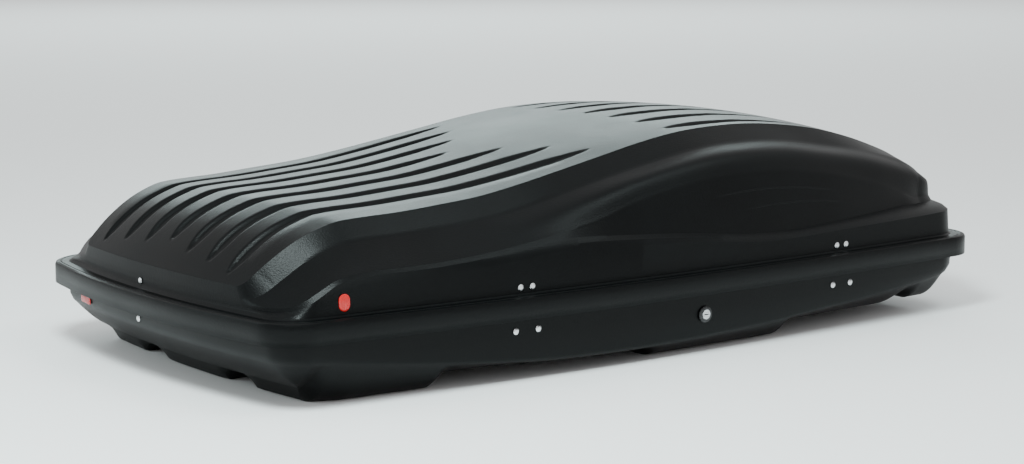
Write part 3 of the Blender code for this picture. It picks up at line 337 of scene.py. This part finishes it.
lower = [
    inset_ring(0.0, -LIP_HEIGHT, LIP_TURN, LID_STATIONS),
    inset_ring(0.0, -0.0045, LIP_TURN, LID_STATIONS),
    inset_ring(0.0012, -0.0014, LIP_TURN, LID_STATIONS),
    inset_ring(0.0045, 0.0, LIP_TURN, LID_STATIONS),
    inset_ring(0.0072, 0.0, LIP_TURN, LID_STATIONS),
    inset_ring(0.0085, -0.0012, LIP_TURN, LID_STATIONS),
    inset_ring(0.0098, 0.0, LIP_TURN, LID_STATIONS),
    inset_ring(LEDGE, 0.0, LIP_TURN - 0.006, LID_STATIONS),
    below_wall,
    wall_top * 0.88 + below_wall * 0.12,
    wall_top * 0.5 + (wall_top * 0.88 + below_wall * 0.12) * 0.2 + sill * 0.3,
]
upper = filled(
    [
        sill, sill * 0.94 + arch * 0.06, arch * 0.93 + sill * 0.07, arch * 0.92 + shoulder * 0.08,
        shoulder, valley, valley * 0.45 + crown * 0.55, crown * 0.94 + valley * 0.06, crown,
    ],
    (0, 9, 1, 7, 6, 3, 3, 0), (False, False, False, True, True, False, False, True, False),
)
rows = sorted(
    {round(k * RIB_PITCH + side * RIB_HALF * share, 5) for k in range(4) for side in (-1, 1)
     for share in (0, 0.2, 0.4, 0.55, 0.7, 0.85, 1.0, 1.2, 1.6, 2.1) if side * share > -0.1 or k}
    - {0.0}, reverse=True,
)
rows = [row for row in rows if 0.001 < row < 0.214]
top = []
for share in (0.2, 0.6):
    top.append(half_ring(
        EDGE_NOSE + 0.003 * share, EDGE_TAIL - 0.003 * share, (HALF_WIDTH * 0.615, HALF_WIDTH * 0.555), 0.021,
        lambda x, share=share: line_width(CROWN_EDGE, x) * (1 - share) + rows[0] * share,
        crown_height, LID_STATIONS,
    ))
for number, row in enumerate(rows):
    step = 0.004 + 0.020 * number / len(rows)
    top.append(half_ring(
        EDGE_NOSE + step, EDGE_TAIL - step, (row * 0.97, row * 0.97), 0.012 * row / rows[0] + 0.001,
        lambda x, row=row: np.full(np.shape(x), row), crown_height, LID_STATIONS,
    ))
lid = skin("lid", lower + upper + top, 1)


# The creases that are pressed into the hollow under each wing, as slim raised beads.

def wing_bead(name, side, share, start, end):
    """A bead along the hollow: share of the way up from the sill to the arch, between stations."""
    station = sill[:, 0] / HALF_LENGTH
    inside = (station > start) & (station < end) & (np.abs(sill[:, 1]) > 0.2)
    t = (station[inside] - start) / (end - start)
    height = share + 0.10 * np.sin(math.pi * t)
    path = sill[inside] * (1 - height[:, None]) + arch[inside] * height[:, None]
    path = on_box(path * (1, -side, 1))
    bead = bpy.data.curves.new(name, "CURVE")
    bead.dimensions = "3D"
    bead.bevel_depth = 0.0021
    bead.bevel_resolution = 3
    bead.use_fill_caps = True
    spline = bead.splines.new("POLY")
    spline.points.add(len(path) - 1)
    for point, place, along in zip(spline.points, path, t):
        point.co = (*place, 1)
        point.radius = max(0.05, math.sin(math.pi * along)) ** 0.6
    made = bpy.data.objects.new(name, bead)
    bpy.context.scene.collection.objects.link(made)
    made.location = (0, side * -0.0012, 0)
    return made


beads = [
    wing_bead(f"{tag}_{level}_wing_bead", side, share, start, end)
    for tag, side in (("lock_side", -1), ("hinge_side", 1))
    for level, share, start, end in (("upper", 0.62, 0.10, 0.62), ("lower", 0.36, 0.19, 0.64))
]


def node(tree, kind, place=(0, 0), **values):
    made = tree.nodes.new(kind)
    made.location = place
    for key, value in values.items():
        if key in made.inputs:
            made.inputs[key].default_value = value
        else:
            setattr(made, key, value)
    return made


# Leather grain, as on grained ABS sheet: small rounded cells with fine creases between them, and
# broad slight unevenness where the sheet was drawn. It puts out a height and a mask of the creases.
grain = bpy.data.node_groups.new("leather_grain", "ShaderNodeTree")
grain.interface.new_socket("Cells per metre", in_out="INPUT", socket_type="NodeSocketFloat")
grain.interface.new_socket("Height", in_out="OUTPUT", socket_type="NodeSocketFloat")
grain.interface.new_socket("Creases", in_out="OUTPUT", socket_type="NodeSocketFloat")
grain_in, grain_out = node(grain, "NodeGroupInput", (-900, 0)), node(grain, "NodeGroupOutput", (500, 0))
where = node(grain, "ShaderNodeTexCoord", (-900, 200))
cells = node(grain, "ShaderNodeTexVoronoi", (-600, 200), feature="SMOOTH_F1", Smoothness=0.6)
veins = node(grain, "ShaderNodeTexNoise", (-600, -120), Detail=3.0, Roughness=0.6)
mix = node(grain, "ShaderNodeMath", (-200, 100), operation="MULTIPLY_ADD")
mix.inputs[1].default_value = 0.6
creases = node(grain, "ShaderNodeMapRange", (100, -150))
creases.inputs["From Min"].default_value = 0.45
creases.inputs["From Max"].default_value = 0.8
for texture in (cells, veins):
    grain.links.new(where.outputs["Object"], texture.inputs["Vector"])
    grain.links.new(grain_in.outputs["Cells per metre"], texture.inputs["Scale"])
grain.links.new(cells.outputs["Distance"], mix.inputs[0])
grain.links.new(veins.outputs["Fac"], mix.inputs[2])
grain.links.new(mix.outputs[0], grain_out.inputs["Height"])
grain.links.new(mix.outputs[0], creases.inputs["Value"])
grain.links.new(creases.outputs["Result"], grain_out.inputs["Creases"])

# Handling wear: broad dull patches and a little dust, lighter than the plastic under it.
wear = bpy.data.node_groups.new("handling_wear", "ShaderNodeTree")
wear.interface.new_socket("Patch size", in_out="INPUT", socket_type="NodeSocketFloat")
wear.interface.new_socket("Mask", in_out="OUTPUT", socket_type="NodeSocketFloat")
wear.interface.new_socket("Edges", in_out="OUTPUT", socket_type="NodeSocketFloat")
wear_in, wear_out = node(wear, "NodeGroupInput", (-900, 0)), node(wear, "NodeGroupOutput", (300, 0))
spot = node(wear, "ShaderNodeTexCoord", (-900, 200))
patches = node(wear, "ShaderNodeTexNoise", (-600, 0), Detail=5.0, Roughness=0.55)
limits = node(wear, "ShaderNodeMapRange", (-200, 0))
limits.inputs["From Min"].default_value = 0.35
limits.inputs["From Max"].default_value = 0.75
wear.links.new(spot.outputs["Object"], patches.inputs["Vector"])
wear.links.new(wear_in.outputs["Patch size"], patches.inputs["Scale"])
wear.links.new(patches.outputs["Fac"], limits.inputs["Value"])
wear.links.new(limits.outputs["Result"], wear_out.inputs["Mask"])
shape = node(wear, "ShaderNodeNewGeometry", (-900, -300))
rubbed = node(wear, "ShaderNodeMapRange", (-500, -300))
rubbed.inputs["From Min"].default_value = 0.52
rubbed.inputs["From Max"].default_value = 0.62
patchy = node(wear, "ShaderNodeMath", (-150, -300), operation="MULTIPLY")
wear.links.new(shape.outputs["Pointiness"], rubbed.inputs["Value"])
wear.links.new(rubbed.outputs["Result"], patchy.inputs[0])
wear.links.new(patches.outputs["Fac"], patchy.inputs[1])
wear.links.new(patchy.outputs[0], wear_out.inputs["Edges"])


# Where a colour Mix node keeps its two colours and its result.
COLOUR_A, COLOUR_B, COLOUR_RESULT = 6, 7, 2


def finish(
    name, dark, light, rough, metallic=0.0, cells_per_metre=420.0, bump=0.0004, patch=6.0, specular=0.5
):
    """A material with a grained bump, whose colour and roughness drift between two values."""
    made = bpy.data.materials.new(name)
    made.use_nodes = True
    tree = made.node_tree
    shader = tree.nodes["Principled BSDF"]
    shader.inputs["Metallic"].default_value = metallic
    shader.inputs["Specular IOR Level"].default_value = specular
    surface = node(tree, "ShaderNodeGroup", (-900, -200), node_tree=grain)
    surface.inputs["Cells per metre"].default_value = cells_per_metre
    used = node(tree, "ShaderNodeGroup", (-900, 200), node_tree=wear)
    used.inputs["Patch size"].default_value = patch
    colour = node(tree, "ShaderNodeMix", (-400, 300), data_type="RGBA")
    colour.inputs[COLOUR_A].default_value = (*dark, 1)
    colour.inputs[COLOUR_B].default_value = (*light, 1)
    gloss = node(tree, "ShaderNodeMapRange", (-400, 0))
    gloss.inputs["To Min"].default_value = rough[0]
    gloss.inputs["To Max"].default_value = rough[1]
    relief = node(tree, "ShaderNodeBump", (-300, -300))
    relief.inputs["Strength"].default_value = 0.55
    relief.inputs["Distance"].default_value = bump
    worn = node(tree, "ShaderNodeMath", (-600, 300), operation="MAXIMUM")
    tree.links.new(used.outputs["Mask"], worn.inputs[0])
    tree.links.new(used.outputs["Edges"], worn.inputs[1])
    tree.links.new(worn.outputs[0], colour.inputs[0])
    tree.links.new(used.outputs["Mask"], gloss.inputs["Value"])
    tree.links.new(colour.outputs[COLOUR_RESULT], shader.inputs["Base Color"])
    tree.links.new(gloss.outputs["Result"], shader.inputs["Roughness"])
    tree.links.new(surface.outputs["Height"], relief.inputs["Height"])
    tree.links.new(relief.outputs["Normal"], shader.inputs["Normal"])
    return made


grained_abs = finish(
    "grained_abs", (0.0006, 0.0009, 0.0010), (0.0012, 0.0018, 0.0020), (0.35, 0.42), specular=0.11
)
for piece in (lid, *beads):
    piece.data.materials.append(grained_abs)
    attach(piece, "lid")
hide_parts("lid_shell")


# ---------------------------------------------------------------- tray
# The lower shell, formed from the same sheet: a flange under the lid's lip, a leaning wall, and an
# underside of standing lobes with flat recesses for the roof bars between them.

FLANGE_INSET, FLANGE_DROP = 0.006, 0.0085
TRAY_INSET = 0.021
TRAY_DEPTH = LIP_TOP
RECESS_RISE, TAIL_RISE = 0.017, 0.022
MIDDLE_LOBE, SIDE_LOBE, LOBE_SLOPE = 0.088, 0.175, 0.020
LOBES = ((-0.59, -0.405), (0.0, 0.258), (0.58, 0.63))
KEEL = (
    (-0.960, 0.488), (-0.878, 0.520), (-0.791, 0.573), (-0.604, 0.679), (-0.432, 0.761),
    (-0.273, 0.815), (0.000, 0.830), (0.300, 0.780), (0.432, 0.730), (0.604, 0.675),
    (0.734, 0.622), (0.863, 0.551), (0.960, 0.480),
)
HINGE_HALF = 0.022
HINGE_PLACES = [sum(corner[0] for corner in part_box(f"{tag}_hinge_lid_leaf")) / 2 for tag in ("front", "rear")]


def keel_height(x):
    return -TRAY_DEPTH * follow(KEEL, x / HALF_LENGTH)


def lobe_share(x, y):
    """1 on a lobe's flat, 0 in a recess or in a valley between lobes."""
    along = np.max([
        ease((x - start) / LOBE_SLOPE + 1) * ease((end - x) / LOBE_SLOPE + 1) for start, end in LOBES
    ], axis=0)
    across = np.maximum(ease((MIDDLE_LOBE - y) / LOBE_SLOPE + 1), ease((y - SIDE_LOBE) / LOBE_SLOPE + 1))
    return along * across


def floor_height(x, y, inset):
    """The underside, inset being the distance from the line where the wall turns under."""
    lobes = lobe_share(x, y)
    floor_level = RECESS_RISE * (1 - lobes) - TRAY_DEPTH + TAIL_RISE * ease((x / HALF_LENGTH - 0.75) / 0.09)
    run = 0.062 - 0.014 * lobes + 0.022 * ease((-x / HALF_LENGTH - 0.78) / 0.1)
    keel_line = keel_height(x)
    return keel_line + (floor_level - keel_line) * np.sin(math.pi / 2 * np.minimum(inset / run, 1.0))


lobe_lines = []
for start, end in LOBES:
    for part in (0, 0.5, 1):
        lobe_lines += [start - LOBE_SLOPE * part, end + LOBE_SLOPE * part]
notch_edges = [x + side * HINGE_HALF for x in HINGE_PLACES for side in (-1, 1)]
TRAY_STATIONS = np.unique(np.round(np.concatenate((
    np.linspace(-0.935, 0.935, 121), np.array(lobe_lines + notch_edges) / HALF_LENGTH,
)), 5))
turn = LIP_TURN - 0.012
bottom = -FLANGE_DROP - SHEET
keel = TRAY_INSET + 0.011
walls = [
    inset_ring(FLANGE_INSET, bottom, LIP_TURN - 0.005, TRAY_STATIONS),
    inset_ring(TRAY_INSET - 0.003, bottom, turn, TRAY_STATIONS),
    inset_ring(TRAY_INSET - 0.0008, bottom - 0.0012, turn, TRAY_STATIONS),
    inset_ring(TRAY_INSET, bottom - 0.003, turn, TRAY_STATIONS),
    inset_ring(TRAY_INSET + 0.0005, bottom - 0.009, turn, TRAY_STATIONS),
    inset_ring(TRAY_INSET + 0.0014, lambda x, y: np.full(np.shape(x), -0.040), turn, TRAY_STATIONS),
    inset_ring(
        TRAY_INSET + 0.002, lambda x, y: np.maximum(-0.058, keel_height(x) + 0.012), turn, TRAY_STATIONS
    ),
    inset_ring(TRAY_INSET + 0.0045, lambda x, y: keel_height(x) + 0.0065, turn, TRAY_STATIONS),
    inset_ring(TRAY_INSET + 0.0065, lambda x, y: keel_height(x) + 0.0025, turn, TRAY_STATIONS),
]
underside = [
    inset_ring(
        keel - 0.0015 + inset, lambda x, y, inset=inset: floor_height(x, y, inset), turn - inset,
        TRAY_STATIONS,
    )
    for inset in np.concatenate((np.linspace(0, 0.07, 13), np.linspace(0.077, 0.344, 41)))
]
first_side = len(NOSE_SHARES) + 1 + 10


def over_hinge(ring, station, side):
    """True for the faces that are cut out of the flange where a hinge leaf comes through."""
    if side < 0 or ring > 3 or not first_side <= station < first_side + len(TRAY_STATIONS) - 1:
        return False
    middle = (TRAY_STATIONS[station - first_side] + TRAY_STATIONS[station - first_side + 1]) / 2 * HALF_LENGTH
    return any(abs(middle - x) < HINGE_HALF for x in HINGE_PLACES)


tray = skin("tray", walls + underside, -1, over_hinge)
tray.data.materials.append(grained_abs)
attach(tray, "tray")
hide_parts("tray_shell")


# ---------------------------------------------------------------- hardware
# Hinges, latches, stays and clamps are the pressed and turned pieces of the frame, in zinc-plated
# steel, moulded nylon and set aluminium rivets.

zinc = finish(
    "zinc_plate", (0.50, 0.51, 0.53), (0.62, 0.63, 0.64), (0.28, 0.45),
    metallic=1.0, cells_per_metre=900.0, bump=0.00008, patch=40.0,
)
nylon = finish(
    "moulded_nylon", (0.012, 0.012, 0.013), (0.022, 0.022, 0.024), (0.5, 0.65),
    cells_per_metre=1500.0, bump=0.0001, patch=25.0,
)
aluminium = finish(
    "rivet_aluminium", (0.66, 0.67, 0.68), (0.80, 0.81, 0.82), (0.25, 0.40),
    metallic=1.0, cells_per_metre=1800.0, bump=0.00004, patch=120.0,
)
finishes = {"zinc_steel": zinc, "black_nylon": nylon, "rivet_aluminium": aluminium, "black_abs": grained_abs}
for subpart in frame["record"]["subparts"]:
    part = frame["nodes"][subpart["node"]]
    part.data.materials.clear()
    part.data.materials.append(finishes[subpart["material_slot"]])


# ---------------------------------------------------------------- reflectors
# Two plain red stick-on reflectors, moulded in tinted acrylic: one low on the lid's wall by the
# nose, and one on the nose of the tray.

red = finish(
    "reflector_red", (0.42, 0.006, 0.005), (0.50, 0.010, 0.008), (0.22, 0.30),
    cells_per_metre=600.0, bump=0.00012, patch=60.0,
)


def reflector(name, place, outwards, size, body):
    """A rounded slab with a softly domed face, bonded flat on a wall."""
    wide, high, thick = size
    work = bmesh.new()
    rim = []
    corner = high * 0.35
    for cx, cy, start in ((1, 1, 0), (-1, 1, 90), (-1, -1, 180), (1, -1, 270)):
        for a in range(0, 91, 15):
            angle = math.radians(start + a)
            x = cx * (wide / 2 - corner) + corner * math.cos(angle)
            y = cy * (high / 2 - corner) + corner * math.sin(angle)
            rim.append((x, y))
    loops = []
    for scale, depth in ((1, 0), (1, thick * 0.6), (0.97, thick * 0.85), (0.9, thick)):
        loops.append([work.verts.new((x * scale, y - y * (1 - scale) * 2, depth)) for x, y in rim])
    for low, high_loop in zip(loops, loops[1:]):
        for i in range(len(rim)):
            j = (i + 1) % len(rim)
            work.faces.new((low[i], low[j], high_loop[j], high_loop[i]))
    work.faces.new(loops[-1])
    work.faces.new(list(reversed(loops[0])))
    mesh = bpy.data.meshes.new(name)
    work.to_mesh(mesh)
    work.free()
    mesh.shade_smooth()
    mesh.set_sharp_from_angle(angle=math.radians(50))
    mesh.materials.append(red)
    made = bpy.data.objects.new(name, mesh)
    bpy.context.scene.collection.objects.link(made)
    out = Vector(outwards).normalized()
    side = Vector((0, 0, 1)).cross(out).normalized()
    turn_to = Matrix((side, out.cross(side), out)).transposed().to_4x4()
    made.matrix_world = Matrix.Translation(place) @ turn_to
    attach(made, body)


wall_y = HALF_WIDTH - LEDGE - 0.0038
wall_a, wall_b = (Vector(on_box(np.array([[x, -wall_y, 0.0185]]))[0]) for x in (-0.595, -0.555))
along = (wall_b - wall_a).normalized()
reflector("lid_reflector", (wall_a + wall_b) / 2, (along.y, -along.x, 0.04), (0.017, 0.024, 0.0016), "lid")
nose_x = TRAY_INSET + 0.0012 - HALF_LENGTH
nose_a, nose_b = (Vector(on_box(np.array([[nose_x, y, -0.047]]))[0]) for y in (0.215, 0.255))
along = (nose_b - nose_a).normalized()
reflector("nose_reflector", (nose_a + nose_b) / 2, (-along.y, along.x, 0), (0.040, 0.011, 0.0016), "tray")
